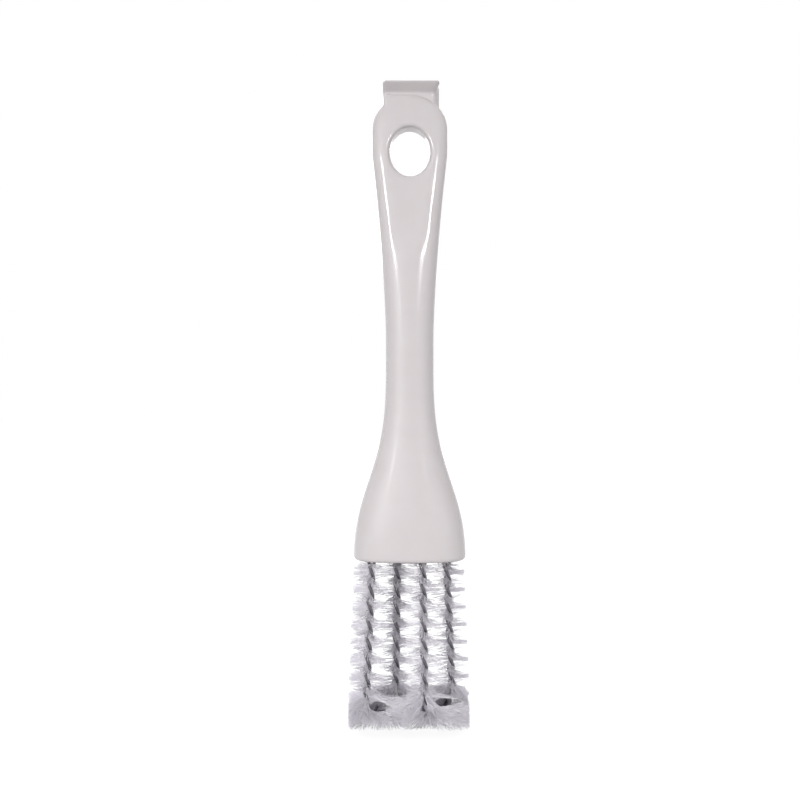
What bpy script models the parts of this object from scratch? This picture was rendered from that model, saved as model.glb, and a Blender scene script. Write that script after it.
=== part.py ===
"""Grill brush: a moulded plastic handle that carries two U-bent twisted-wire brushes.

Metres, +Z up. The brush stands upright on its bristle tips at z = 0, with the handle up and its
front towards -Y. Left and right are as seen from the front.
"""

import bisect
import math

import bmesh
import bpy
from mathutils import Matrix, Vector

CLEARANCE = 0.0003
TINY = 1e-6

# Handle, from its mouth at the lower end to the scraper's tip
MOUTH_HEIGHT = 0.0462
MOUTH_WIDTH = 0.0302
MOUTH_DEPTH = 0.0186
MOUTH_EDGE_RADIUS = 0.0011
FLARE_LENGTH = 0.0500
WAIST_WIDTH = 0.0129
WAIST_DEPTH = 0.0106
WAIST_LENGTH = 0.0096
SWELL_LENGTH = 0.0490
SHOULDER_WIDTH = 0.0203
SHOULDER_DEPTH = 0.0082
SHOULDER_LENGTH = 0.0070
DOME_LENGTH = 0.0094

# How square each section is: 2 is an ellipse, more is flatter with rounder corners
MOUTH_SQUARENESS = 2.7
WAIST_SQUARENESS = 2.3
SHOULDER_SQUARENESS = 3.6

# Curve of the flare (steepness and where it is steepest) and of the swell towards the shoulder
FLARE_POWER = 1.9
FLARE_DELAY = 1.27
SWELL_POWER = 1.5

# Hanging hole, an upright oval right through the shoulder
HOLE_WIDTH = 0.0107
HOLE_LENGTH = 0.0130
HOLE_BELOW_SHOULDER_TOP = 0.0063
HOLE_RIM_RADIUS = 0.0009

# Scraper plate behind the dome, with its hooked lip
SCRAPER_WIDTH = 0.0158
SCRAPER_THICKNESS = 0.0030
SCRAPER_BACK_INSET = 0.0008
SCRAPER_ABOVE_DOME = 0.0038
SCRAPER_ROOT_LENGTH = 0.0145
LIP_REACH = 0.0030
LIP_LENGTH = 0.0030
SCRAPER_EDGE_RADIUS = 0.0006

# Twisted wire loops
WIRE_RADIUS = 0.00048
WIRE_OFFSET = 0.00075
TWIST_PITCH = 0.0095
LEG_SPACING = 0.00675
LEG_SPLAY = 0.0011
LEG_STAGGER = 0.0090
BEND_RADIUS = 0.0022
BEND_RISE = 0.0006
BEND_HEIGHT = 0.0056
SOCKET_DEPTH = 0.0120

# Nylon filaments, clamped between the two wires
BRISTLE_LENGTH = 0.0049
BRISTLE_WIDTH = 0.00030
BRISTLE_THICKNESS = 0.00022
BRISTLE_SPACING = 0.00084
END_BRISTLE_SPACING = 0.00044
BRISTLE_TRIM = 0.0006
CORE_WIDTH = 0.0018
BRISTLE_FREE_GAP = 0.0006
NODE_GAP = 0.0005

# Fineness of the faceted surfaces
SECTION_POINTS = 32
FLARE_RINGS = 13
SWELL_RINGS = 8
DOME_RINGS = 6
EDGE_RINGS = 3
HOLE_POINTS = 32
HOLE_RIM_RINGS = 2
SOCKET_POINTS = 16
SOCKET_LEAD_IN = 2 * MOUTH_EDGE_RADIUS
SMOOTH_ANGLE = math.radians(35)
WIRE_POINTS_PER_TURN = 9
ROUTE_STEP = 0.00025

# Heights of the handle that follow from the lengths above
FLARE_TOP = MOUTH_HEIGHT + FLARE_LENGTH
WAIST_TOP = FLARE_TOP + WAIST_LENGTH
SWELL_TOP = WAIST_TOP + SWELL_LENGTH
SHOULDER_TOP = SWELL_TOP + SHOULDER_LENGTH
DOME_TOP = SHOULDER_TOP + DOME_LENGTH
TIP_HEIGHT = DOME_TOP + SCRAPER_ABOVE_DOME
HOLE_CENTRE = SHOULDER_TOP - HOLE_BELOW_SHOULDER_TOP
STEM_RADIUS = WIRE_OFFSET + WIRE_RADIUS


def new_collection(name, hidden=False):
    collection = bpy.data.collections.new(name)
    collection.hide_render = hidden
    bpy.context.scene.collection.children.link(collection)
    return collection


def new_material(name, colour, roughness, metallic=0.0):
    material = bpy.data.materials.new(name)
    material.use_nodes = True
    shader = material.node_tree.nodes["Principled BSDF"]
    shader.inputs["Base Color"].default_value = (*colour, 1.0)
    shader.inputs["Roughness"].default_value = roughness
    shader.inputs["Metallic"].default_value = metallic
    return material


def add_mesh(name, bm, collection, material=None):
    """Makes an object of the bmesh, with its faces pointing out and round parts smooth."""
    bmesh.ops.recalc_face_normals(bm, faces=bm.faces)
    mesh = bpy.data.meshes.new(name)
    bm.to_mesh(mesh)
    bm.free()
    mesh.shade_smooth()
    mesh.set_sharp_from_angle(angle=SMOOTH_ANGLE)
    if material:
        mesh.materials.append(material)
    obj = bpy.data.objects.new(name, mesh)
    collection.objects.link(obj)
    return obj


def as_cutter(obj):
    obj.hide_render = True
    obj.display_type = "WIRE"
    return obj


def add_boolean(obj, other, operation):
    modifier = obj.modifiers.new(operation.title() + " " + other.name, "BOOLEAN")
    modifier.operation = operation
    modifier.solver = "EXACT"
    modifier.object = other


def mix(low, high, share):
    return low + (high - low) * share


def flare_share(share):
    """How far a section of the flare is from waist to mouth, for its share of the flare's length."""
    near = share**FLARE_POWER
    far = (FLARE_DELAY * (1 - share)) ** FLARE_POWER
    return near / (near + far)


def handle_section(z):
    """Half width, half depth and squareness of the handle at a height."""
    if z < FLARE_TOP:
        share = flare_share(min(1.0, (FLARE_TOP - z) / FLARE_LENGTH))
        width = mix(WAIST_WIDTH, MOUTH_WIDTH, share)
        depth = mix(WAIST_DEPTH, MOUTH_DEPTH, share)
        return width / 2, depth / 2, mix(WAIST_SQUARENESS, MOUTH_SQUARENESS, share)
    if z < WAIST_TOP:
        return WAIST_WIDTH / 2, WAIST_DEPTH / 2, WAIST_SQUARENESS
    if z < SWELL_TOP:
        share = ((z - WAIST_TOP) / SWELL_LENGTH) ** SWELL_POWER
        width = mix(WAIST_WIDTH, SHOULDER_WIDTH, share)
        depth = mix(WAIST_DEPTH, SHOULDER_DEPTH, share)
        return width / 2, depth / 2, mix(WAIST_SQUARENESS, SHOULDER_SQUARENESS, share)
    if z < SHOULDER_TOP:
        return SHOULDER_WIDTH / 2, SHOULDER_DEPTH / 2, SHOULDER_SQUARENESS
    share = math.sqrt(max(0.0, 1 - ((z - SHOULDER_TOP) / DOME_LENGTH) ** 2))
    return SHOULDER_WIDTH / 2 * share, SHOULDER_DEPTH / 2 * share, SHOULDER_SQUARENESS


def handle_rings():
    """Height, half width, half depth and squareness of each ring of the handle, from the mouth up."""
    rings = []
    for step in range(EDGE_RINGS):
        angle = math.pi / 2 * step / EDGE_RINGS
        z = MOUTH_HEIGHT + MOUTH_EDGE_RADIUS * (1 - math.sin(angle))
        inset = MOUTH_EDGE_RADIUS * (1 - math.cos(angle))
        half_width, half_depth, squareness = handle_section(z)
        rings.append((z, half_width - inset, half_depth - inset, squareness))
    rings.reverse()
    mouth_width, mouth_depth, mouth_squareness = handle_section(MOUTH_HEIGHT)
    lowest = (
        MOUTH_HEIGHT,
        mouth_width - MOUTH_EDGE_RADIUS,
        mouth_depth - MOUTH_EDGE_RADIUS,
        mouth_squareness,
    )
    rings.insert(0, lowest)
    flare_start = MOUTH_HEIGHT + MOUTH_EDGE_RADIUS
    heights = [mix(flare_start, FLARE_TOP, (step + 1) / FLARE_RINGS) for step in range(FLARE_RINGS)]
    heights += [mix(WAIST_TOP, SWELL_TOP, step / SWELL_RINGS) for step in range(SWELL_RINGS + 1)]
    for step in range(DOME_RINGS):
        heights.append(SHOULDER_TOP + DOME_LENGTH * math.sin(math.pi / 2 * step / DOME_RINGS))
    rings += [(z, *handle_section(z)) for z in heights]
    return rings


def section_points(z, half_width, half_depth, squareness):
    points = []
    for step in range(SECTION_POINTS):
        angle = 2 * math.pi * step / SECTION_POINTS
        x = math.copysign(abs(math.cos(angle)) ** (2 / squareness), math.cos(angle))
        y = math.copysign(abs(math.sin(angle)) ** (2 / squareness), math.sin(angle))
        points.append((half_width * x, half_depth * y, z))
    return points


def loft(bm, sections):
    """A closed skin over sections that each have the same number of points."""
    rings = [[bm.verts.new(point) for point in section] for section in sections]
    for lower, upper in zip(rings, rings[1:]):
        for index in range(len(lower)):
            following = (index + 1) % len(lower)
            bm.faces.new((lower[index], lower[following], upper[following], upper[index]))
    bm.faces.new(rings[0][::-1])
    bm.faces.new(rings[-1])
    return rings


def hole_cutter(cutters):
    """An upright oval with flared ends, which round the rim of the hole."""
    wall = SHOULDER_DEPTH / 2
    levels = [(-wall - HOLE_RIM_RADIUS, 2 * HOLE_RIM_RADIUS)]
    for step in range(HOLE_RIM_RINGS + 1):
        angle = math.pi / 2 * step / HOLE_RIM_RINGS
        y = -wall + HOLE_RIM_RADIUS * (1 - math.cos(angle))
        levels.append((y, HOLE_RIM_RADIUS * (1 - math.sin(angle))))
    levels += [(-y, grow) for y, grow in reversed(levels)]
    sections = []
    for y, grow in levels:
        section = []
        for step in range(HOLE_POINTS):
            angle = 2 * math.pi * step / HOLE_POINTS
            x = (HOLE_WIDTH / 2 + grow) * math.cos(angle)
            z = HOLE_CENTRE + (HOLE_LENGTH / 2 + grow) * math.sin(angle)
            section.append((x, y, z))
        sections.append(section)
    bm = bmesh.new()
    loft(bm, sections)
    return as_cutter(add_mesh("hanging_hole_cutter", bm, cutters))


def scraper_plate(cutters):
    """The plate and its lip: a side outline extruded across the handle, with rounded edges."""
    back = SHOULDER_DEPTH / 2 - SCRAPER_BACK_INSET
    front = back - SCRAPER_THICKNESS
    root = TIP_HEIGHT - SCRAPER_ROOT_LENGTH
    outline = [
        (back, root),
        (back, TIP_HEIGHT),
        (front - LIP_REACH, TIP_HEIGHT),
        (front, TIP_HEIGHT - LIP_LENGTH),
        (front, root),
    ]
    bm = bmesh.new()
    corners = [bm.verts.new((-SCRAPER_WIDTH / 2, y, z)) for y, z in outline]
    side = bm.faces.new(corners)
    extruded = bmesh.ops.extrude_face_region(bm, geom=[side])["geom"]
    moved = [item for item in extruded if isinstance(item, bmesh.types.BMVert)]
    bmesh.ops.translate(bm, verts=moved, vec=(SCRAPER_WIDTH, 0, 0))
    bmesh.ops.recalc_face_normals(bm, faces=bm.faces)
    upright = [edge for edge in bm.edges if edge.verts[0].co.x == edge.verts[1].co.x]
    upright = [edge for edge in upright if max(vert.co.z for vert in edge.verts) > root]
    bmesh.ops.bevel(
        bm,
        geom=upright,
        offset=SCRAPER_EDGE_RADIUS,
        offset_type="OFFSET",
        affect="EDGES",
        segments=2,
        profile=0.5,
        material=-1,
    )
    return as_cutter(add_mesh("scraper_plate", bm, cutters))


def leg_axis(side, rear):
    """Where a leg's axis leaves the mouth and where it would end at the bend. Side is -1 or 1."""
    place = side * LEG_SPACING + (LEG_SPACING / 2 if rear else -LEG_SPACING / 2)
    splay = 1 + LEG_SPLAY / LEG_SPACING
    y = LEG_STAGGER / 2 if rear else -LEG_STAGGER / 2
    z = BEND_HEIGHT + (BEND_RISE if rear else 0.0)
    return Vector((place, y, MOUTH_HEIGHT)), Vector((place * splay, y, z))


def loop_corners(side):
    """The four corners of a loop's route: up in the front socket, two at the bend, up in the rear one."""
    corners = []
    for rear in (False, True):
        top, bottom = leg_axis(side, rear)
        upwards = (top - bottom).normalized()
        inside = top + upwards * (SOCKET_DEPTH - CLEARANCE)
        corners += [bottom, inside] if rear else [inside, bottom]
    return corners


def rounded(corners, radius):
    """The corners joined by straight runs, with an arc of the radius at each inner corner."""
    points = [corners[0]]
    for before, corner, after in zip(corners, corners[1:], corners[2:]):
        incoming = (corner - before).normalized()
        outgoing = (after - corner).normalized()
        turn = incoming.angle(outgoing)
        start = corner - incoming * radius * math.tan(turn / 2)
        axis = incoming.cross(outgoing).normalized()
        centre = start + axis.cross(incoming) * radius
        steps = math.ceil(turn * radius / ROUTE_STEP)
        for step in range(steps + 1):
            points.append(centre + Matrix.Rotation(turn * step / steps, 3, axis) @ (start - centre))
    return points + [corners[-1]]


class Route:
    """A loop's route, with a direction across it that doesn't twist of itself."""

    def __init__(self, side):
        self.points = rounded(loop_corners(side), BEND_RADIUS)
        self.reach = [0.0]
        for before, after in zip(self.points, self.points[1:]):
            self.reach.append(self.reach[-1] + (after - before).length)
        self.length = self.reach[-1]
        across = Vector((1, 0, 0))
        self.across = []
        for index in range(len(self.points)):
            along = self.tangent(index)
            across = (across - along * across.dot(along)).normalized()
            self.across.append(across)

    def tangent(self, index):
        before = self.points[max(0, index - 1)]
        after = self.points[min(len(self.points) - 1, index + 1)]
        return (after - before).normalized()

    def at(self, place):
        """Point, tangent, filament direction and wire direction at a place along the route."""
        index = bisect.bisect_right(self.reach, place) - 1
        index = min(max(index, 0), len(self.reach) - 2)
        share = (place - self.reach[index]) / (self.reach[index + 1] - self.reach[index])
        point = self.points[index].lerp(self.points[index + 1], share)
        along = self.tangent(index).lerp(self.tangent(index + 1), share).normalized()
        across = self.across[index].lerp(self.across[index + 1], share)
        across = (across - along * across.dot(along)).normalized()
        twist = -2 * math.pi * place / TWIST_PITCH
        filament = math.cos(twist) * across + math.sin(twist) * along.cross(across)
        return point, along, filament, along.cross(filament)

    def below_mouth(self):
        """The first and last place of the route that filaments can start from."""
        buried = SOCKET_DEPTH - CLEARANCE + BRISTLE_FREE_GAP
        return buried, self.length - buried

    def bend(self):
        """The first and last place of the bend, arcs included."""
        corners = loop_corners(-1 if self.points[0].x < 0 else 1)
        run = (corners[1] - corners[0]).length
        turn = (corners[1] - corners[0]).angle(corners[2] - corners[1])
        first = run - BEND_RADIUS * math.tan(turn / 2)
        run = (corners[3] - corners[2]).length
        turn = (corners[2] - corners[1]).angle(corners[3] - corners[2])
        return first, self.length - run + BEND_RADIUS * math.tan(turn / 2)


def add_wire(name, route, turned, collection, material):
    """One strand of a loop's twisted pair, as a tube along a helix round the route."""
    steps = round(route.length / TWIST_PITCH * WIRE_POINTS_PER_TURN)
    curve = bpy.data.curves.new(name, "CURVE")
    curve.dimensions = "3D"
    curve.bevel_depth = WIRE_RADIUS
    curve.bevel_resolution = 1
    curve.use_fill_caps = True
    spline = curve.splines.new("POLY")
    spline.points.add(steps)
    for step in range(steps + 1):
        point, _, _, wire = route.at(route.length * step / steps)
        spline.points[step].co = (*(point + wire * WIRE_OFFSET * turned), 1.0)
    curve.materials.append(material)
    obj = bpy.data.objects.new(name, curve)
    collection.objects.link(obj)
    return obj


def free_length(point, direction, others):
    """A filament's length: to the block that the end is trimmed to, or halfway to another wire."""
    sideways = math.hypot(direction.x, direction.y)
    length = BRISTLE_LENGTH
    if direction.z < 0:
        length = min(
            BRISTLE_LENGTH / max(sideways, TINY),
            (point.z + BRISTLE_TRIM) / -direction.z,
        )
    for other in others:
        towards = other - point
        ahead = towards.dot(direction)
        if ahead > 0:
            length = min(length, towards.length_squared / (2 * ahead) - BRISTLE_WIDTH)
    return length


def add_bristles(name, route, first, last, spacing, others, collection, material):
    """Filaments both ways out of a thin twisted core, from one place on the route to another."""
    count = round((last - first) / spacing)
    pitch = (last - first) / count
    half_core = CORE_WIDTH / 2
    half_thick = BRISTLE_THICKNESS / 2
    sections = []
    for index in range(count):
        middle = first + (index + 0.5) * pitch
        for place in (middle - BRISTLE_WIDTH / 2, middle + BRISTLE_WIDTH / 2):
            point, _, filament, wire = route.at(place)
            corners = ((1, 1), (-1, 1), (-1, -1), (1, -1))
            sections.append([point + filament * half_core * a + wire * half_thick * b for a, b in corners])
    bm = bmesh.new()
    rings = loft(bm, sections)
    bm.normal_update()
    tips = 0
    for index in range(count):
        point, _, filament, _ = route.at(first + (index + 0.5) * pitch)
        lower, upper = rings[2 * index], rings[2 * index + 1]
        for near, far, side in ((1, 2, -1), (3, 0, 1)):
            foot = bm.faces.get((lower[near], lower[far], upper[far], upper[near]))
            length = free_length(point, filament * side, others) - half_core
            if length < BRISTLE_WIDTH:
                continue
            tip = bmesh.ops.extrude_discrete_faces(bm, faces=[foot])["faces"][0]
            bmesh.ops.translate(bm, verts=tip.verts, vec=filament * side * length)
            tips += 1
    cut = bmesh.ops.bisect_plane(
        bm,
        geom=bm.verts[:] + bm.edges[:] + bm.faces[:],
        plane_co=(0, 0, 0),
        plane_no=(0, 0, -1),
        clear_outer=True,
    )["geom_cut"]
    rims = [item for item in cut if isinstance(item, bmesh.types.BMEdge)]
    if rims:
        bmesh.ops.edgeloop_fill(bm, edges=rims)
    add_mesh(name, bm, collection, material)
    return tips


def add_handle(collection, cutters, material):
    bm = bmesh.new()
    loft(bm, [section_points(*ring) for ring in handle_rings()])
    handle = add_mesh("handle", bm, collection, material)
    add_boolean(handle, scraper_plate(cutters), "UNION")
    add_boolean(handle, hole_cutter(cutters), "DIFFERENCE")
    for side in (-1, 1):
        for rear in (False, True):
            top, bottom = leg_axis(side, rear)
            add_boolean(handle, socket_cutter(top, bottom, cutters), "DIFFERENCE")
    return handle


def socket_cutter(top, bottom, cutters):
    """A blind bore along a leg's axis, from below the mouth to the socket's end."""
    upwards = (top - bottom).normalized()
    length = SOCKET_DEPTH + SOCKET_LEAD_IN
    middle = top + upwards * (length / 2 - SOCKET_LEAD_IN)
    turn = upwards.to_track_quat("Z", "Y").to_matrix().to_4x4()
    bm = bmesh.new()
    bmesh.ops.create_cone(
        bm,
        cap_ends=True,
        segments=SOCKET_POINTS,
        radius1=STEM_RADIUS + CLEARANCE,
        radius2=STEM_RADIUS + CLEARANCE,
        depth=length,
        matrix=Matrix.Translation(middle) @ turn,
    )
    return as_cutter(add_mesh("socket_cutter", bm, cutters))


def main():
    for obj in list(bpy.data.objects):
        bpy.data.objects.remove(obj)
    parts = new_collection("grill_brush")
    cutters = new_collection("cutters", hidden=True)
    plastic = new_material("handle_plastic", (0.68, 0.65, 0.65), 0.28)
    steel = new_material("wire_steel", (0.46, 0.45, 0.47), 0.3, metallic=1.0)
    nylon = new_material("bristle_nylon", (0.78, 0.76, 0.84), 0.45)

    add_handle(parts, cutters, plastic)
    routes = {"left_loop": Route(-1), "right_loop": Route(1)}
    others = []
    for route in routes.values():
        first, last = route.below_mouth()
        steps = math.ceil((last - first) / BRISTLE_SPACING)
        others += [route.at(mix(first, last, step / steps))[0] for step in range(steps + 1)]
    tips = 0
    for name, route in routes.items():
        add_wire(name + "_wire_a", route, 1, parts, steel)
        add_wire(name + "_wire_b", route, -1, parts, steel)
        first, last = route.below_mouth()
        bend_first, bend_last = route.bend()
        stretches = {
            "_front_bristles": (first, bend_first - NODE_GAP / 2, BRISTLE_SPACING),
            "_bend_bristles": (bend_first + NODE_GAP / 2, bend_last - NODE_GAP / 2, END_BRISTLE_SPACING),
            "_rear_bristles": (bend_last + NODE_GAP / 2, last, BRISTLE_SPACING),
        }
        for ending, (start, end, spacing) in stretches.items():
            tips += add_bristles(name + ending, route, start, end, spacing, others, parts, nylon)
    print("filament tips:", tips)


main()
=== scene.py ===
"""Looks of the grill brush: a glossy moulded handle, twisted steel wires and fine nylon filaments.

Metres, +Z up, in the frame of the solid model. The brush stands on its bristle tips, front to -Y.
"""

import math
import random

import bmesh
import bpy
import numpy as np
from mathutils import Matrix, Vector


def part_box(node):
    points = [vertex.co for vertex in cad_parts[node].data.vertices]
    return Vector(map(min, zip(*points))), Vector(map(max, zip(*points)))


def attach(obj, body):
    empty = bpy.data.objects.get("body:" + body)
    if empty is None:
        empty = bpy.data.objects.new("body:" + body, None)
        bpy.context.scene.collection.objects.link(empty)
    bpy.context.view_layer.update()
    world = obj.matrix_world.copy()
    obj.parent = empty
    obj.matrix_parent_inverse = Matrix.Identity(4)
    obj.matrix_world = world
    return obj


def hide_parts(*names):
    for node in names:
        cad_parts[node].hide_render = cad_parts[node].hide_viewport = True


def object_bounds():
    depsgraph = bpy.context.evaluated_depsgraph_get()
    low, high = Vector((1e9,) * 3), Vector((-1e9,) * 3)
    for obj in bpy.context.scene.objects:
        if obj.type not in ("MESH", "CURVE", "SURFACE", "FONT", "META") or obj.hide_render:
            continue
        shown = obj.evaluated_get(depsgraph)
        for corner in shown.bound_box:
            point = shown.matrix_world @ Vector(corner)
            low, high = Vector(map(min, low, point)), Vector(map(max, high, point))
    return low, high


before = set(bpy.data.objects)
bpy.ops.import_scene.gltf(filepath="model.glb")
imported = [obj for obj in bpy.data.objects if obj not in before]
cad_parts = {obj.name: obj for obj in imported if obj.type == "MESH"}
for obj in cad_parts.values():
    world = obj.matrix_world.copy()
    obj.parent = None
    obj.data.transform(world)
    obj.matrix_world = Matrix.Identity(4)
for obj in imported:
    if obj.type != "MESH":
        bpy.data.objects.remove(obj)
cad_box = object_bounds()
handle_low, handle_high = (Vector(corner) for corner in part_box("handle"))

# What counts as nothing, as the same place and as a sharp edge
TINY = 1e-9
CLOSE = 1e-6
SHARP = math.radians(50)
BEVEL_SEGMENTS = 4

# Camera: its distance from the brush, and the real size of a pixel at the brush
FRAME_PIXELS = 800
PIXEL = 0.000270
CAMERA_DISTANCE = 0.272
CENTRE_PIXEL_X = 409.7
CAMERA_HEIGHT = 0.0890
SENSOR = 36.0

# How strongly the white surroundings light the object, and the floor's shade, glow and half width
WORLD_LEVEL = 0.48
FLOOR_SHADE = 0.45
FLOOR_GLOW = 0.80
FLOOR_REACH = 4

# What the lamps point at, and how wide their beams spread
KEY_AIM = (0, 0, -0.02)
FILL_AIM = (0, 0, -0.04)
REAR_AIM = (0, 0, 0.09)
STRIP_AIM = (0, 0, 0.155)
SOFT_BEAM = math.radians(60)
STRIP_BEAM = math.radians(13)
OPEN_BEAM = math.pi

# Lamps that light the whole object: name, place, aim, width and height, watts, beam
BROAD_LAMPS = (
    ("key", (-0.55, -1.10, 0.40), KEY_AIM, (1.5, 1.1), 0.81, SOFT_BEAM),
    ("rear", (-0.25, 1.40, 0.85), REAR_AIM, (1.2, 1.2), 12, OPEN_BEAM),
)

# Low lamps for the head and the bristles, which no glossy surface reflects
FILL_LAMPS = (
    ("left_fill", (-0.72, -0.90, 0.20), FILL_AIM, (1.0, 0.36), 0.89, SOFT_BEAM),
    ("right_fill", (0.72, -0.90, 0.20), FILL_AIM, (1.0, 0.36), 0.66, SOFT_BEAM),
)

# Two narrow strips, which only the ridges of the handle reflect
STRIP_LAMPS = (
    ("left_strip", (-0.37, -0.62, 0.281), STRIP_AIM, (0.12, 0.040), 0.0090, STRIP_BEAM),
    ("right_strip", (0.26, -0.62, 0.281), STRIP_AIM, (0.09, 0.040), 0.0076, STRIP_BEAM),
)

# Colours and roughnesses, each from the dark to the pale end of the surface's marks
PLASTIC_COLOURS = (0.655, 0.612, 0.622, 1), (0.665, 0.624, 0.632, 1)
PLASTIC_ROUGHNESS = 0.15, 0.19
STEEL_COLOURS = (0.17, 0.16, 0.18, 1), (0.25, 0.24, 0.265, 1)
STEEL_ROUGHNESS = 0.42, 0.60
NYLON_COLOURS = (0.87, 0.84, 0.93, 1), (0.99, 0.96, 1.0, 1)

# How much the fine marks add to the broad ones
FINE_GRAIN = 0.35

# Handle, the same sizes as its solid
MOUTH_HEIGHT = handle_low.z
TIP_HEIGHT = handle_high.z
MOUTH_WIDTH = handle_high.x - handle_low.x
MOUTH_DEPTH = handle_high.y - handle_low.y
MOUTH_EDGE_RADIUS = 0.0011
FLARE_LENGTH = 0.0500
WAIST_WIDTH = 0.0129
WAIST_DEPTH = 0.0106
WAIST_LENGTH = 0.0096
SWELL_LENGTH = 0.0490
SHOULDER_WIDTH = 0.0203
SHOULDER_DEPTH = 0.0082
SHOULDER_LENGTH = 0.0070
DOME_LENGTH = 0.0094
MOUTH_SQUARENESS = 2.7
WAIST_SQUARENESS = 2.3
SHOULDER_SQUARENESS = 3.6
FLARE_POWER = 1.9
FLARE_DELAY = 1.27
SWELL_POWER = 1.5
FLARE_TOP = MOUTH_HEIGHT + FLARE_LENGTH
WAIST_TOP = FLARE_TOP + WAIST_LENGTH
SWELL_TOP = WAIST_TOP + SWELL_LENGTH
SHOULDER_TOP = SWELL_TOP + SHOULDER_LENGTH
DOME_TOP = SHOULDER_TOP + DOME_LENGTH

# The shoulder and dome grow thinner towards the top
THINNING = 0.4
THINNING_POWER = 1.5
THINNING_START = SWELL_TOP - 0.0013

# Rings and columns of the handle's skin
MOUTH_RINGS = 8
SIDE_RINGS = 200
DOME_RINGS = 28
SKIN_COLUMNS = 160

# Shallow dish in the front of the swell, between two ridges
DISH_DEPTH = 0.00045
DISH_TOP = SHOULDER_TOP + 0.0020
DISH_BOTTOM = 0.1260
DISH_FADE = 0.0090
RIDGE_SHARE_TOP = 0.74
RIDGE_SHARE_BOTTOM = 0.62

HOLE_WIDTH = 0.0107
HOLE_LENGTH = 0.0130
HOLE_CENTRE = Vector((0, 0, SHOULDER_TOP - 0.0063))
HOLE_RIM_RADIUS = 0.0016
HOLE_FLARE = 2.0
HOLE_RINGS = 6
HOLE_SEGMENTS = 96

SCRAPER_WIDTH = 0.0158
SCRAPER_THICKNESS = 0.0030
SCRAPER_BACK = SHOULDER_DEPTH / 2 - 0.0008
SCRAPER_ROOT_LENGTH = 0.0145
LIP_REACH = 0.0030
LIP_LENGTH = 0.0030
LIP_SLOPE = 0.0005
SCRAPER_EDGE_RADIUS = 0.0007
SCRAPER_SLANT = 0.0015
SCRAPER_SHIFT = 0.0005

# Rib that carries the front of the dome up to the lip, at the left of the plate
RIB_TOP = 0.1713
RIB_TOP_REACH = 0.0017
RIB_FOOT = 0.1615
RIB_FOOT_REACH = 0.0031
RIB_RIGHT = 0.0016
RIB_SLANT = 0.0026
RIB_FADE = 0.0012
RIB_EDGE_RADIUS = 0.0005

# The moulding's even skin and softened edges
HANDLE_VOXEL = 0.000315
SMOOTHING_FACTOR = 0.5
SMOOTHING_PASSES = 8

# Twisted wire loops
WIRE_RADIUS = 0.00043
WIRE_OFFSET = 0.00070
TWIST_PITCH = 0.0095
LEG_SPACING = 0.00675
LEG_SPLAY = 0.0011
LEG_STAGGER = 0.0090
BEND_RADIUS = 0.0022
BEND_RISE = 0.0006
BEND_HEIGHT = 0.0056
SOCKET_DEPTH = 0.0120
SOCKET_RADIUS = 0.00153
SOCKET_CLEARANCE = 0.0003
SOCKET_SEGMENTS = 40
WIRE_POINTS_PER_TURN = 28
WIRE_ROUNDNESS = 5
ROUTE_STEP = 0.0002
STRAIGHT_RUN = 0.01

# Nylon filaments. The margin keeps them inside the solid model's box
BRISTLE_LENGTH = 0.0049
FILAMENT_RADIUS = 0.000060
FILAMENT_MARGIN = 1.2 * FILAMENT_RADIUS
FILAMENT_THINNEST = 0.85
FILAMENT_THICKEST = 1.1
FILAMENT_FREE_GAP = 0.0005
FILAMENT_POINTS = 3
FILAMENT_BEND = 0.00012
SHORTEST_FILAMENT = 0.0003
ROOT_SPREAD = 0.00024
SEED = 20

# Spots along each loop's wires, which the legs' filaments keep clear of
WIRE_SPOTS = 150

# Filaments per metre of a straight leg: in step with the twist, thickest towards the front
LEG_DENSITY = 190000
LEG_SHORTEST = 0.94
SIDE_FAN = math.radians(10)
FRONT_FAN = math.radians(24)
LEG_LEAN = math.radians(2.5)
INNER_LEAN = math.radians(8)
LEFT_LEAN = 2 * LEG_LEAN
LEAN_FROM = 0.3
LEAN_TO = 0.8

# Share that is kept towards each side, less where the twist slants, and all towards the front
INNER_SHARE = 0.30
MIDDLE_SHARE = 0.42
LEFT_SHARE = 0.85
RIGHT_SHARE = 0.95
INNER_SLANT = 0.45
LEFT_SLANT = 0.6
RIGHT_SLANT = 2
RIGHT_LEAST = 0.05
FRONT_FROM = 0.70
FRONT_TO = 0.95

# The dense block at the end: its tips on a box, sparse along the worn lower edges
BLOCK_FILAMENTS = 20000
BLOCK_HEIGHT = 0.0092
BLOCK_TOP_LOW = 0.75
BLOCK_TOP_HIGH = 1.1
BLOCK_SHORTEST = 0.88
BLOCK_SPOTS = 240
BLOCK_LEFT = -0.0163
BLOCK_RIGHT = 0.0158
BLOCK_DEPTH = 0.0186
BLOCK_LEAN = 0.0012
BLOCK_MINGLING = 0.0012
BLOCK_TRIES = 8
REACH_FRONT = 0.0122
REACH_REAR = 0.0088
WORN_SLOPE_FRONT = 0.38
WORN_SLOPE_REAR = 0.08
WORN_LOW = -0.0010
WORN_HIGH = 0.0013

# Openings in the front of the block where wire shows: centre, half width and half height
OPENINGS = (
    (Vector((-0.0084, -0.0018, 0.0068)), 0.0023, 0.0014),
    (Vector((0.0039, -0.0045, 0.0078)), 0.0007, 0.0016),
    (Vector((0.0090, 0.0018, 0.0068)), 0.0021, 0.0012),
)
OPENING_RISE = 0.3
OPENING_STEPS = 8


def mix(low, high, share):
    return low + (high - low) * share


def smooth_step(low, high, value):
    share = min(1.0, max(0.0, (value - low) / (high - low)))
    return share * share * (3 - 2 * share)


def add_piece(name, mesh, material=None):
    if material:
        mesh.materials.append(material)
    obj = bpy.data.objects.new(name, mesh)
    bpy.context.scene.collection.objects.link(obj)
    return obj


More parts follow.
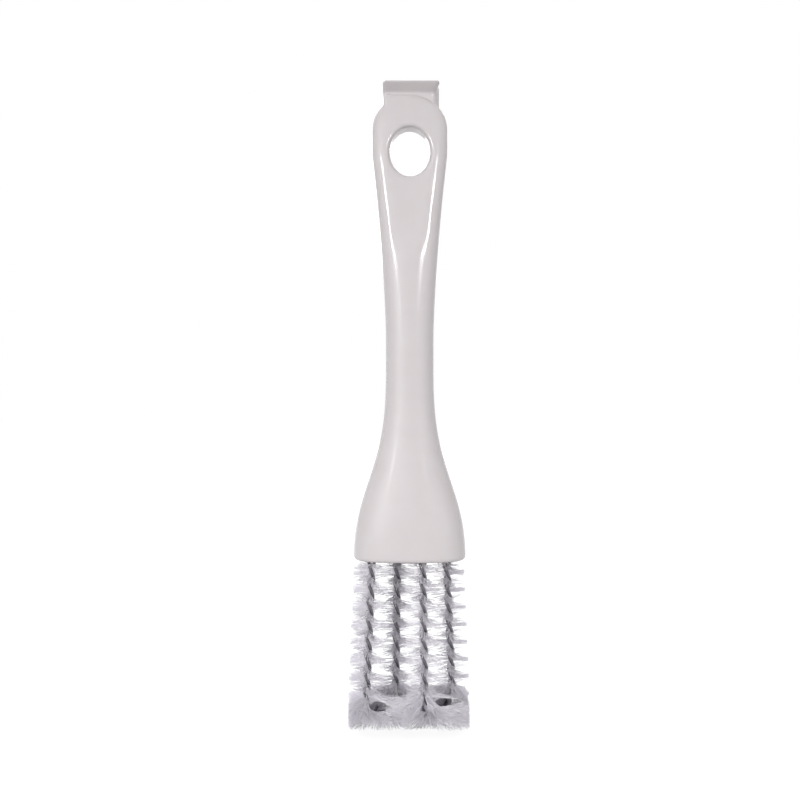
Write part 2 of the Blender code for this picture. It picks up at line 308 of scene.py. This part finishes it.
def bevel(bm, edges, radius):
    bmesh.ops.bevel(
        bm,
        geom=edges,
        offset=radius,
        offset_type="OFFSET",
        affect="EDGES",
        segments=BEVEL_SEGMENTS,
        profile=0.5,
        material=-1,
    )


def mesh_of(name, bm):
    bmesh.ops.recalc_face_normals(bm, faces=bm.faces)
    mesh = bpy.data.meshes.new(name)
    bm.to_mesh(mesh)
    bm.free()
    return mesh


def moved_verts(extruded):
    return [item for item in extruded["geom"] if isinstance(item, bmesh.types.BMVert)]


def moved_edges(extruded):
    return [item for item in extruded["geom"] if isinstance(item, bmesh.types.BMEdge)]


def prism(outline, left, right):
    """A bar with this outline of depths and heights, and the corners at its right end."""
    bm = bmesh.new()
    side = bm.faces.new([bm.verts.new((left, y, z)) for y, z in outline])
    corners = moved_verts(bmesh.ops.extrude_face_region(bm, geom=[side]))
    bmesh.ops.translate(bm, verts=corners, vec=(right - left, 0, 0))
    return bm, corners


# Handle


def flare_share(share):
    near = share**FLARE_POWER
    far = (FLARE_DELAY * (1 - share)) ** FLARE_POWER
    return near / (near + far)


def handle_section(z):
    """Half width, half depth and squareness of the handle at a height."""
    if z < FLARE_TOP:
        share = flare_share(min(1.0, (FLARE_TOP - z) / FLARE_LENGTH))
        width = mix(WAIST_WIDTH, MOUTH_WIDTH, share)
        depth = mix(WAIST_DEPTH, MOUTH_DEPTH, share)
        return width / 2, depth / 2, mix(WAIST_SQUARENESS, MOUTH_SQUARENESS, share)
    if z < SWELL_TOP:
        share = max(0.0, (z - WAIST_TOP) / SWELL_LENGTH) ** SWELL_POWER
        width = mix(WAIST_WIDTH, SHOULDER_WIDTH, share)
        depth = mix(WAIST_DEPTH, SHOULDER_DEPTH, share)
        return width / 2, depth / 2, mix(WAIST_SQUARENESS, SHOULDER_SQUARENESS, share)
    share = math.sqrt(max(0.0, 1 - (max(0.0, z - SHOULDER_TOP) / DOME_LENGTH) ** 2))
    return SHOULDER_WIDTH / 2 * share, SHOULDER_DEPTH / 2 * share, SHOULDER_SQUARENESS


def thinning(z):
    share = max(0.0, (z - THINNING_START) / (DOME_TOP - THINNING_START))
    return 1 - THINNING * share**THINNING_POWER


def dish_at(x, z, half_width):
    """How far the front is sunk between the two ridges."""
    ridge = half_width * mix(
        RIDGE_SHARE_BOTTOM, RIDGE_SHARE_TOP, smooth_step(DISH_BOTTOM, SWELL_TOP, z)
    )
    if abs(x) >= ridge:
        return 0.0
    fade = smooth_step(DISH_BOTTOM, DISH_BOTTOM + DISH_FADE, z)
    fade *= 1 - smooth_step(DISH_TOP - DISH_FADE / 2, DISH_TOP, z)
    return DISH_DEPTH * fade * (1 - (x / ridge) ** 2)


def handle_levels():
    """Height and inset of each ring of the handle's skin, from the mouth's flat end to the dome."""
    levels = []
    for ring in range(MOUTH_RINGS + 1):
        angle = math.pi / 2 * ring / MOUTH_RINGS
        rise = MOUTH_EDGE_RADIUS * (1 - math.cos(angle))
        levels.append((MOUTH_HEIGHT + rise, MOUTH_EDGE_RADIUS * (1 - math.sin(angle))))
    start = MOUTH_HEIGHT + MOUTH_EDGE_RADIUS
    for ring in range(1, SIDE_RINGS + 1):
        levels.append((mix(start, SHOULDER_TOP, ring / SIDE_RINGS), 0.0))
    for ring in range(1, DOME_RINGS):
        angle = math.pi / 2 * ring / DOME_RINGS
        levels.append((SHOULDER_TOP + DOME_LENGTH * math.sin(angle), 0.0))
    return levels


def handle_skin():
    """A grid wrapped round the handle, welded along its back and closed at both ends."""
    levels = handle_levels()
    bm = bmesh.new()
    bmesh.ops.create_grid(bm, x_segments=SKIN_COLUMNS, y_segments=len(levels) - 1, size=1)
    for vert in bm.verts:
        angle = math.pi * (vert.co.x + 1.5)
        z, inset = levels[round((vert.co.y + 1) / 2 * (len(levels) - 1))]
        half_width, half_depth, squareness = handle_section(z)
        x = math.copysign(abs(math.cos(angle)) ** (2 / squareness), math.cos(angle))
        y = math.copysign(abs(math.sin(angle)) ** (2 / squareness), math.sin(angle))
        x *= half_width - inset
        y *= half_depth * thinning(z) - inset
        if y < 0:
            y += dish_at(x, z, half_width)
        vert.co = (x, y, z)
    bmesh.ops.remove_doubles(bm, verts=bm.verts, dist=CLOSE)
    ends = [edge for edge in bm.edges if edge.is_boundary]
    bmesh.ops.edgeloop_fill(bm, edges=ends)
    return mesh_of("handle_skin", bm)


def scraper_plate():
    """The plate behind the dome, with its lip turned to the front."""
    front = SCRAPER_BACK - SCRAPER_THICKNESS
    root = TIP_HEIGHT - SCRAPER_ROOT_LENGTH
    outline = [
        (SCRAPER_BACK, root),
        (SCRAPER_BACK, TIP_HEIGHT),
        (front - LIP_REACH, TIP_HEIGHT - LIP_SLOPE),
        (front, TIP_HEIGHT - LIP_LENGTH),
        (front, root),
    ]
    bm, right = prism(outline, -SCRAPER_WIDTH / 2, SCRAPER_WIDTH / 2)
    slanted = [vert for vert in right if abs(vert.co.y - front) < CLOSE]
    bmesh.ops.translate(bm, verts=slanted, vec=(-SCRAPER_SLANT, 0, 0))
    top_back = max(right, key=lambda vert: vert.co.y + vert.co.z)
    bmesh.ops.connect_verts(bm, verts=[top_back, max(slanted, key=lambda vert: vert.co.z)])
    bmesh.ops.recalc_face_normals(bm, faces=bm.faces)
    sides = [edge for edge in bm.edges if edge.verts[0].co.x * edge.verts[1].co.x > 0]
    sides = [edge for edge in sides if edge.calc_face_angle() > SHARP]
    sides = [edge for edge in sides if max(vert.co.z for vert in edge.verts) > root + CLOSE]
    bevel(bm, sides, SCRAPER_EDGE_RADIUS)
    bmesh.ops.translate(bm, verts=bm.verts, vec=(SCRAPER_SHIFT, 0, 0))
    return mesh_of("scraper_plate", bm)


def corner_rib():
    """The rib in front of the plate, whose right side slants away and fades into the dome."""
    back = SCRAPER_BACK - SCRAPER_THICKNESS / 2
    outline = [
        (back, RIB_FOOT),
        (back, RIB_TOP),
        (-RIB_TOP_REACH, RIB_TOP),
        (-RIB_FOOT_REACH, RIB_FOOT),
    ]
    left = SCRAPER_SHIFT - SCRAPER_WIDTH / 2 + SCRAPER_EDGE_RADIUS / 2
    bm, right = prism(outline, left, RIB_RIGHT)
    slanted = [vert for vert in right if abs(vert.co.y - back) < CLOSE]
    bmesh.ops.translate(bm, verts=slanted, vec=(RIB_SLANT, 0, 0))
    corner = min(right, key=lambda vert: vert.co.y - vert.co.z)
    bmesh.ops.translate(bm, verts=[corner], vec=(0, RIB_FADE, 0))
    bmesh.ops.recalc_face_normals(bm, faces=bm.faces)
    front = [edge for edge in bm.edges if max(vert.co.y for vert in edge.verts) < 0]
    front = [edge for edge in front if max(vert.co.z for vert in edge.verts) > RIB_FOOT + CLOSE]
    bevel(bm, front, RIB_EDGE_RADIUS)
    return mesh_of("corner_rib", bm)


def hole_cutter():
    """An upright oval that flares at both faces of the shoulder, to round the hole's rim."""
    wall = SHOULDER_DEPTH / 2 - DISH_DEPTH / 2
    levels = [(-wall - HOLE_RIM_RADIUS, HOLE_FLARE)]
    for ring in range(HOLE_RINGS + 1):
        angle = math.pi / 2 * ring / HOLE_RINGS
        levels.append((-wall + HOLE_RIM_RADIUS * (1 - math.cos(angle)), 1 - math.sin(angle)))
    levels += [(-y, share) for y, share in reversed(levels)]
    bm = bmesh.new()
    turn = Matrix.Translation(HOLE_CENTRE) @ Matrix.Rotation(math.pi / 2, 4, "X")
    rim = bmesh.ops.create_circle(bm, cap_ends=False, segments=HOLE_SEGMENTS, radius=1, matrix=turn)
    verts, edges = rim["verts"], bm.edges[:]
    width, length, depth = 1.0, 1.0, 0.0
    space = Matrix.Translation(-HOLE_CENTRE)
    for number, (y, share) in enumerate(levels):
        if number:
            extruded = bmesh.ops.extrude_edge_only(bm, edges=edges)
            verts, edges = moved_verts(extruded), moved_edges(extruded)
        new_width = HOLE_WIDTH / 2 + HOLE_RIM_RADIUS * share
        new_length = HOLE_LENGTH / 2 + HOLE_RIM_RADIUS * share
        scale = (new_width / width, 1, new_length / length)
        bmesh.ops.scale(bm, verts=verts, vec=scale, space=space)
        bmesh.ops.translate(bm, verts=verts, vec=(0, y - depth, 0))
        width, length, depth = new_width, new_length, y
    ends = [edge for edge in bm.edges if edge.is_boundary]
    bmesh.ops.edgeloop_fill(bm, edges=ends)
    return mesh_of("hole_cutter", bm)


def socket_cutter(top, bottom):
    """A round bar from just below the mouth up to the socket's blind end."""
    upwards = (top - bottom).normalized()
    below = 2 * MOUTH_EDGE_RADIUS
    length = SOCKET_DEPTH + below
    middle = top + upwards * (length / 2 - below)
    bm = bmesh.new()
    bmesh.ops.create_cone(
        bm,
        cap_ends=True,
        segments=SOCKET_SEGMENTS,
        radius1=SOCKET_RADIUS,
        radius2=SOCKET_RADIUS,
        depth=length,
        matrix=Matrix.Translation(middle) @ upwards.to_track_quat("Z", "Y").to_matrix().to_4x4(),
    )
    return mesh_of("socket_cutter", bm)


def applied(obj, name):
    """The object's mesh with its modifiers applied."""
    graph = bpy.context.evaluated_depsgraph_get()
    mesh = bpy.data.meshes.new_from_object(obj.evaluated_get(graph), depsgraph=graph)
    mesh.name = name
    return mesh


def make_handle(material):
    """Skin, plate, hole and sockets made one body, then softened as a moulding is."""
    body = add_piece("handle_body", handle_skin())
    helpers = [(scraper_plate(), "UNION"), (corner_rib(), "UNION"), (hole_cutter(), "DIFFERENCE")]
    for side in (-1, 1):
        for rear in (False, True):
            helpers.append((socket_cutter(*leg_axis(side, rear)), "DIFFERENCE"))
    objects = []
    for mesh, operation in helpers:
        helper = add_piece(mesh.name, mesh)
        objects.append(helper)
        boolean = body.modifiers.new(mesh.name, "BOOLEAN")
        boolean.operation = operation
        boolean.solver = "EXACT"
        boolean.object = helper
    remesh = body.modifiers.new("even_skin", "REMESH")
    remesh.mode = "VOXEL"
    remesh.voxel_size = HANDLE_VOXEL
    remesh.adaptivity = 0
    smooth = body.modifiers.new("moulded_edges", "SMOOTH")
    smooth.factor = SMOOTHING_FACTOR
    smooth.iterations = SMOOTHING_PASSES
    mesh = applied(body, "moulded_handle")
    for obj in [body, *objects]:
        bpy.data.objects.remove(obj)
    mesh.materials.clear()
    mesh.shade_smooth()
    handle = add_piece("moulded_handle", mesh, material)
    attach(handle, "root")
    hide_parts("handle")


# Route of the wire loops


def leg_axis(side, rear):
    """Where a leg's axis leaves the mouth and where it would end at the bend. Side is -1 or 1."""
    place = side * LEG_SPACING + (LEG_SPACING / 2 if rear else -LEG_SPACING / 2)
    splay = 1 + LEG_SPLAY / LEG_SPACING
    y = LEG_STAGGER / 2 if rear else -LEG_STAGGER / 2
    z = BEND_HEIGHT + (BEND_RISE if rear else 0.0)
    return Vector((place, y, MOUTH_HEIGHT)), Vector((place * splay, y, z))


def loop_corners(side):
    """The ends and turns of a loop, from one socket down, across and up into the other."""
    corners = []
    for rear in (False, True):
        top, bottom = leg_axis(side, rear)
        upwards = (top - bottom).normalized()
        inside = top + upwards * (SOCKET_DEPTH - SOCKET_CLEARANCE)
        corners += [bottom, inside] if rear else [inside, bottom]
    return corners


def rounded(corners, radius):
    """The corners joined by straight runs, with an arc of the radius at each inner corner."""
    points = [corners[0]]
    for before, corner, after in zip(corners, corners[1:], corners[2:]):
        incoming = (corner - before).normalized()
        outgoing = (after - corner).normalized()
        turn = incoming.angle(outgoing)
        start = corner - incoming * radius * math.tan(turn / 2)
        axis = incoming.cross(outgoing).normalized()
        centre = start + axis.cross(incoming) * radius
        steps = math.ceil(turn * radius / ROUTE_STEP)
        for step in range(steps + 1):
            points.append(centre + Matrix.Rotation(turn * step / steps, 3, axis) @ (start - centre))
    return points + [corners[-1]]


class Route:
    """A loop's route, with a direction across it that doesn't twist of itself."""

    def __init__(self, side):
        self.points = rounded(loop_corners(side), BEND_RADIUS)
        self.reach = [0.0]
        for before, after in zip(self.points, self.points[1:]):
            self.reach.append(self.reach[-1] + (after - before).length)
        self.length = self.reach[-1]
        across = Vector((1, 0, 0))
        self.across = []
        for index in range(len(self.points)):
            along = self.tangent(index)
            across = (across - along * across.dot(along)).normalized()
            self.across.append(across)

    def tangent(self, index):
        before = self.points[max(0, index - 1)]
        after = self.points[min(len(self.points) - 1, index + 1)]
        return (after - before).normalized()

    def at(self, place):
        """Point, tangent, filament direction and wire direction at a place along the route."""
        index = int(np.searchsorted(self.reach, place, side="right")) - 1
        index = min(max(0, index), len(self.reach) - 2)
        share = (place - self.reach[index]) / (self.reach[index + 1] - self.reach[index])
        point = self.points[index].lerp(self.points[index + 1], share)
        along = self.tangent(index).lerp(self.tangent(index + 1), share).normalized()
        across = self.across[index].lerp(self.across[index + 1], share)
        across = (across - along * across.dot(along)).normalized()
        twist = -2 * math.pi * place / TWIST_PITCH
        filament = math.cos(twist) * across + math.sin(twist) * along.cross(across)
        return point, along, filament, along.cross(filament)

    def below_mouth(self):
        """The first and last place that filaments may start from, clear of the handle."""
        buried = SOCKET_DEPTH - SOCKET_CLEARANCE + FILAMENT_FREE_GAP
        return buried, self.length - buried

    def even_places(self, count):
        first, last = self.below_mouth()
        return [mix(first, last, step / count) for step in range(count + 1)]

    def bend(self):
        """The first and last place of the bend, arcs included."""
        steps = range(1, len(self.points))
        runs = [step for step in steps if self.reach[step] - self.reach[step - 1] > STRAIGHT_RUN]
        return self.reach[runs[0]], self.reach[runs[-1] - 1]


def make_wire(name, route, turned, node, material):
    """One strand of a twisted pair, a round tube on a helix round the route."""
    steps = round(route.length / TWIST_PITCH * WIRE_POINTS_PER_TURN)
    curve = bpy.data.curves.new(name, "CURVE")
    curve.dimensions = "3D"
    curve.bevel_depth = WIRE_RADIUS
    curve.bevel_resolution = WIRE_ROUNDNESS
    curve.use_fill_caps = True
    spline = curve.splines.new("POLY")
    spline.points.add(steps)
    for step in range(steps + 1):
        point, _, _, wire = route.at(route.length * step / steps)
        spline.points[step].co = (*(point + wire * WIRE_OFFSET * turned), 1.0)
    shape = add_piece(name + "_shape", curve)
    mesh = applied(shape, name)
    bpy.data.objects.remove(shape)
    mesh.shade_smooth()
    wire = add_piece(name, mesh, material)
    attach(wire, "root")
    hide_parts(node)


# Filaments


def free_length(root, direction, others):
    """How long a leg's filament can be: no nearer to other wire than its own, and above the floor."""
    length = BRISTLE_LENGTH
    if direction.z < 0:
        length = min(length, (root.z - FILAMENT_RADIUS) / -direction.z)
    towards = others - np.array(root)
    ahead = towards @ np.array(direction)
    squared = (towards**2).sum(axis=1)
    limits = np.where(ahead > TINY, squared / np.maximum(2 * ahead, TINY), 1.0)
    return min(length, float(limits.min()))


def leg_direction(point, along, filament, wire, rng):
    """Out of the wires in step with their twist. None where a gap between the bunches is."""
    fan = rng.gauss(0, mix(SIDE_FAN, FRONT_FAN, filament.y**2))
    across = filament * rng.choice((-1, 1)) * math.cos(fan) + wire * math.sin(fan)
    slant = (2 * filament.x * filament.y) ** 2
    lean = mix(INNER_LEAN, LEG_LEAN, smooth_step(LEAN_FROM, LEAN_TO, -across.y))
    inwards = point.x * across.x < 0
    if inwards and abs(point.x) < LEG_SPACING:
        share = MIDDLE_SHARE * (1 - INNER_SLANT * slant)
    elif inwards or abs(point.x) < LEG_SPACING:
        share = INNER_SHARE * (1 - INNER_SLANT * slant)
    elif point.x < 0:
        share, lean = LEFT_SHARE * (1 - LEFT_SLANT * slant), LEFT_LEAN
    else:
        share, lean = RIGHT_SHARE * max(RIGHT_LEAST, 1 - RIGHT_SLANT * slant), LEG_LEAN
    share = max(share, smooth_step(FRONT_FROM, FRONT_TO, -across.y))
    if rng.random() > share:
        return None
    return (across + along * math.tan(rng.gauss(0, lean))).normalized()


def leg_filaments(route, places, others, rng):
    """Root and tip of each filament of a straight leg, clamped between its wires."""
    first, last = places
    count = round((last - first) * LEG_DENSITY)
    found = []
    for index in range(count):
        place = first + (last - first) * (index + rng.random()) / count
        point, along, filament, wire = route.at(place)
        direction = leg_direction(point, along, filament, wire, rng)
        if direction is None:
            continue
        root = point + wire * rng.uniform(-ROOT_SPREAD, ROOT_SPREAD)
        length = free_length(root, direction, others)
        tip = root + direction * length * rng.uniform(LEG_SHORTEST, 1.0)
        if length >= SHORTEST_FILAMENT and not in_opening(root, tip):
            found.append((root, tip, wire))
    return found


def block_tip(rng):
    """A spot on the surface of the trimmed box, or None where it is worn."""
    width, depth, height = BLOCK_RIGHT - BLOCK_LEFT, BLOCK_DEPTH, BLOCK_HEIGHT
    x = BLOCK_LEFT + rng.random() * width
    y = (rng.random() - 0.5) * depth
    spot = Vector((x, y, rng.random() * height))
    level, front, side = width * depth, width * height, depth * height
    pick = rng.random() * (level + front + side)
    if pick < level:
        spot.z = rng.choice((0.0, height * rng.uniform(BLOCK_TOP_LOW, BLOCK_TOP_HIGH)))
    elif pick < level + front:
        spot.y = math.copysign(depth / 2, spot.y)
    else:
        spot.x = rng.choice((BLOCK_LEFT, BLOCK_RIGHT))
    worn = WORN_SLOPE_REAR * spot.y if spot.y > 0 else -WORN_SLOPE_FRONT * spot.y
    kept = smooth_step(WORN_LOW, WORN_HIGH, spot.z - worn)
    return spot if rng.random() < kept else None


def in_opening(root, tip):
    """Whether a filament would cross an opening, which rises from its centre to the front."""
    for centre, half_width, half_height in OPENINGS:
        for step in range(OPENING_STEPS + 1):
            spot = root.lerp(tip, step / OPENING_STEPS) - centre
            height = spot.z + OPENING_RISE * spot.y
            if spot.y < 0 and (spot.x / half_width) ** 2 + (height / half_height) ** 2 < 1:
                return True
    return False


def block_filaments(routes, rng):
    """Root and tip of each filament of the block, listed by loop with its place on the route."""
    spots = []
    for name, route in routes.items():
        for place in route.even_places(BLOCK_SPOTS):
            point = route.at(place)[0]
            if point.z < BLOCK_HEIGHT:
                spots.append((name, place, point))
    points = np.array([point for _, _, point in spots])
    found = {name: [] for name in routes}
    for _ in range(BLOCK_FILAMENTS):
        tip = block_tip(rng)
        if tip is None:
            continue
        for number in range(BLOCK_TRIES):
            near = [value + rng.gauss(0, BLOCK_MINGLING * (1 + number)) for value in tip]
            nearest = int(((points - np.array(near)) ** 2).sum(axis=1).argmin())
            name, place, _ = spots[nearest]
            place += rng.gauss(0, BLOCK_LEAN)
            point, _, _, wire = routes[name].at(place)
            root = point + wire * rng.uniform(-ROOT_SPREAD, ROOT_SPREAD)
            longest = REACH_FRONT if tip.y < 0 else REACH_REAR
            reach = min(1.0, longest / (tip - root).length)
            if not in_opening(root, root.lerp(tip, reach)):
                reach *= rng.uniform(BLOCK_SHORTEST, 1.0)
                found[name].append((place, (root, root.lerp(tip, reach), wire)))
                break
    return found


def make_filaments(name, filaments, node, material, rng):
    """One piece of many slightly bent filaments, each with a tone of its own."""
    curve = bpy.data.curves.new(name, "CURVE")
    curve.dimensions = "3D"
    curve.bevel_depth = FILAMENT_RADIUS
    curve.bevel_resolution = 0
    curve.use_fill_caps = True
    low, high = (np.array(corner) for corner in cad_box)
    low, high = low + FILAMENT_MARGIN, high - FILAMENT_MARGIN
    for root, tip, wire in filaments:
        along = (tip - root).cross(wire).normalized()
        bend = along * rng.gauss(0, FILAMENT_BEND) + wire * rng.gauss(0, FILAMENT_BEND)
        size = rng.uniform(FILAMENT_THINNEST, FILAMENT_THICKEST)
        spline = curve.splines.new("POLY")
        spline.points.add(FILAMENT_POINTS - 1)
        for number, dot in enumerate(spline.points):
            share = number / (FILAMENT_POINTS - 1)
            spot = np.array(root.lerp(tip, share) + bend * share**2)
            dot.co = (*np.clip(spot, low, high), 1.0)
            dot.radius = size
    shape = add_piece(name + "_shape", curve)
    mesh = applied(shape, name)
    bpy.data.objects.remove(shape)
    tones = [rng.random() for _ in filaments]
    tones = np.repeat(tones, len(mesh.vertices) // len(filaments))
    tone = mesh.attributes.new("tone", "FLOAT", "POINT")
    tone.data.foreach_set("value", tones.astype(np.float32))
    mesh.shade_smooth()
    piece = add_piece(name, mesh, material)
    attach(piece, "root")
    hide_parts(node)


# Materials


def new_material(name):
    material = bpy.data.materials.new(name)
    material.use_nodes = True
    return material, material.node_tree, material.node_tree.nodes["Principled BSDF"]


def grey(level):
    return level, level, level, 1


def grain_group():
    """Fine moulding or drawing marks: a mask and a bumped normal from two noises."""
    group = bpy.data.node_groups.new("surface_grain", "ShaderNodeTree")
    sockets = group.interface
    sockets.new_socket("Vector", in_out="INPUT", socket_type="NodeSocketVector")
    for label in ("Scale", "Detail Scale", "Strength", "Depth"):
        sockets.new_socket(label, in_out="INPUT", socket_type="NodeSocketFloat")
    sockets.new_socket("Mask", in_out="OUTPUT", socket_type="NodeSocketFloat")
    sockets.new_socket("Normal", in_out="OUTPUT", socket_type="NodeSocketVector")
    nodes, links = group.nodes, group.links
    given = nodes.new("NodeGroupInput")
    result = nodes.new("NodeGroupOutput")
    broad = nodes.new("ShaderNodeTexNoise")
    fine = nodes.new("ShaderNodeTexNoise")
    both = nodes.new("ShaderNodeMath")
    both.operation = "MULTIPLY_ADD"
    both.inputs[1].default_value = FINE_GRAIN
    bump = nodes.new("ShaderNodeBump")
    links.new(given.outputs["Vector"], broad.inputs["Vector"])
    links.new(given.outputs["Vector"], fine.inputs["Vector"])
    links.new(given.outputs["Scale"], broad.inputs["Scale"])
    links.new(given.outputs["Detail Scale"], fine.inputs["Scale"])
    links.new(fine.outputs["Fac"], both.inputs[0])
    links.new(broad.outputs["Fac"], both.inputs[2])
    links.new(both.outputs["Value"], bump.inputs["Height"])
    links.new(given.outputs["Strength"], bump.inputs["Strength"])
    links.new(given.outputs["Depth"], bump.inputs["Distance"])
    links.new(broad.outputs["Fac"], result.inputs["Mask"])
    links.new(bump.outputs["Normal"], result.inputs["Normal"])
    return group


def add_grain(tree, grain, scale, detail, strength, depth):
    place = tree.nodes.new("ShaderNodeTexCoord")
    node = tree.nodes.new("ShaderNodeGroup")
    node.node_tree = grain
    tree.links.new(place.outputs["Object"], node.inputs["Vector"])
    node.inputs["Scale"].default_value = scale
    node.inputs["Detail Scale"].default_value = detail
    node.inputs["Strength"].default_value = strength
    node.inputs["Depth"].default_value = depth
    return node


def add_ramp(tree, factor, low, high, start=0.3, end=0.7):
    ramp = tree.nodes.new("ShaderNodeValToRGB")
    ramp.color_ramp.elements[0].position = start
    ramp.color_ramp.elements[0].color = low
    ramp.color_ramp.elements[1].position = end
    ramp.color_ramp.elements[1].color = high
    tree.links.new(factor, ramp.inputs["Fac"])
    return ramp.outputs["Color"]


def join_marks(tree, shader, marks, colours, roughness):
    """Vary a shader's colour, roughness and normal with the grain."""
    colour = add_ramp(tree, marks.outputs["Mask"], *colours)
    rough = add_ramp(tree, marks.outputs["Mask"], *(grey(level) for level in roughness))
    tree.links.new(colour, shader.inputs["Base Color"])
    tree.links.new(rough, shader.inputs["Roughness"])
    tree.links.new(marks.outputs["Normal"], shader.inputs["Normal"])


def plastic_material(grain):
    material, tree, shader = new_material("handle_plastic")
    marks = add_grain(tree, grain, scale=260, detail=2600, strength=0.06, depth=0.00002)
    join_marks(tree, shader, marks, PLASTIC_COLOURS, PLASTIC_ROUGHNESS)
    shader.inputs["IOR"].default_value = 1.49
    shader.inputs["Subsurface Weight"].default_value = 0.08
    shader.inputs["Subsurface Radius"].default_value = (0.002, 0.0016, 0.0014)
    return material


def steel_material(grain):
    material, tree, shader = new_material("wire_steel")
    marks = add_grain(tree, grain, scale=900, detail=9000, strength=0.25, depth=0.00002)
    join_marks(tree, shader, marks, STEEL_COLOURS, STEEL_ROUGHNESS)
    shader.inputs["Metallic"].default_value = 1.0
    return material


def nylon_material():
    material, tree, shader = new_material("bristle_nylon")
    tone = tree.nodes.new("ShaderNodeAttribute")
    tone.attribute_name = "tone"
    colour = add_ramp(tree, tone.outputs["Fac"], *NYLON_COLOURS, start=0, end=1)
    tree.links.new(colour, shader.inputs["Base Color"])
    shader.inputs["Roughness"].default_value = 0.35
    shader.inputs["IOR"].default_value = 1.53
    shader.inputs["Sheen Weight"].default_value = 1.0
    shader.inputs["Sheen Roughness"].default_value = 0.5
    return material


# Surroundings


def light_path_sum(tree):
    """1 for camera, glossy and transmission rays, 0 for the rays that light the object."""
    path = tree.nodes.new("ShaderNodeLightPath")
    first = tree.nodes.new("ShaderNodeMath")
    first.operation = "ADD"
    second = tree.nodes.new("ShaderNodeMath")
    second.operation = "ADD"
    second.use_clamp = True
    tree.links.new(path.outputs["Is Camera Ray"], first.inputs[0])
    tree.links.new(path.outputs["Is Glossy Ray"], first.inputs[1])
    tree.links.new(first.outputs["Value"], second.inputs[0])
    tree.links.new(path.outputs["Is Transmission Ray"], second.inputs[1])
    return second.outputs["Value"]


def make_world():
    """White to the eye and in reflections, and dimmer where it lights the object."""
    world = bpy.data.worlds.new("white_studio")
    bpy.context.scene.world = world
    world.use_nodes = True
    tree = world.node_tree
    background = tree.nodes["Background"]
    background.inputs["Color"].default_value = grey(1)
    strength = tree.nodes.new("ShaderNodeMapRange")
    strength.inputs["To Min"].default_value = WORLD_LEVEL
    strength.inputs["To Max"].default_value = 1.0
    tree.links.new(light_path_sum(tree), strength.inputs["Value"])
    tree.links.new(strength.outputs["Result"], background.inputs["Strength"])


def make_floor():
    """A floor that looks white, and throws back on the object only what its shade does."""
    bm = bmesh.new()
    bmesh.ops.create_grid(bm, x_segments=1, y_segments=1, size=FLOOR_REACH)
    material, tree, shader = new_material("pale_floor")
    shader.inputs["Base Color"].default_value = grey(FLOOR_SHADE)
    shader.inputs["Roughness"].default_value = 0.9
    shader.inputs["Specular IOR Level"].default_value = 0.0
    shader.inputs["Emission Color"].default_value = grey(1)
    lift = tree.nodes.new("ShaderNodeMath")
    lift.operation = "MULTIPLY"
    lift.inputs[1].default_value = FLOOR_GLOW
    tree.links.new(light_path_sum(tree), lift.inputs[0])
    tree.links.new(lift.outputs["Value"], shader.inputs["Emission Strength"])
    floor = add_piece("pale_floor", mesh_of("pale_floor", bm), material)


def add_softbox(name, place, aim, sizes, watts, beam):
    light = bpy.data.lights.new(name, "AREA")
    light.shape = "RECTANGLE"
    light.size, light.size_y = sizes
    light.energy = watts
    light.spread = beam
    lamp = bpy.data.objects.new(name, light)
    lamp.location = place
    lamp.rotation_euler = (Vector(aim) - Vector(place)).to_track_quat("-Z", "Y").to_euler()
    bpy.context.scene.collection.objects.link(lamp)
    return lamp


def make_lamps():
    for lamp in BROAD_LAMPS:
        add_softbox(*lamp)
    for lamp in FILL_LAMPS:
        add_softbox(*lamp).visible_glossy = False
    for lamp in STRIP_LAMPS:
        add_softbox(*lamp).visible_diffuse = False


def make_camera():
    camera = bpy.data.cameras.new("photo_camera")
    camera.sensor_width = SENSOR
    camera.lens = SENSOR * CAMERA_DISTANCE / (FRAME_PIXELS * PIXEL)
    camera.clip_start = 0.01
    obj = bpy.data.objects.new("photo_camera", camera)
    offset = (FRAME_PIXELS / 2 - CENTRE_PIXEL_X) * PIXEL
    obj.location = (offset, -CAMERA_DISTANCE, CAMERA_HEIGHT)
    obj.rotation_euler = (math.pi / 2, 0, 0)
    bpy.context.scene.collection.objects.link(obj)
    bpy.context.scene.camera = obj


def make_loops(steel, nylon):
    """Both loops' wires, and their filaments in three pieces: front leg, bend and rear leg."""
    rng = random.Random(SEED)
    routes = {"left_loop": Route(-1), "right_loop": Route(1)}
    others = []
    for route in routes.values():
        others += [route.at(place)[0] for place in route.even_places(WIRE_SPOTS)]
    others = np.array(others)
    block = block_filaments(routes, rng)
    for name, route in routes.items():
        make_wire(name + "_strand_a", route, 1, name + "_wire_a", steel)
        make_wire(name + "_strand_b", route, -1, name + "_wire_b", steel)
        first, last = route.below_mouth()
        bend_first, bend_last = route.bend()
        pieces = {
            "front": (leg_filaments(route, (first, bend_first), others, rng), first, bend_first),
            "bend": ([], bend_first, bend_last),
            "rear": (leg_filaments(route, (bend_last, last), others, rng), bend_last, last),
        }
        for part, (filaments, start, end) in pieces.items():
            filaments += [ends for place, ends in block[name] if start <= place < end]
            node = f"{name}_{part}_bristles"
            make_filaments(f"{name}_{part}_filaments", filaments, node, nylon, rng)


def main():
    bpy.context.scene.view_settings.view_transform = "Standard"
    make_camera()
    make_world()
    make_floor()
    make_lamps()
    grain = grain_group()
    make_handle(plastic_material(grain))
    make_loops(steel_material(grain), nylon_material())


main()
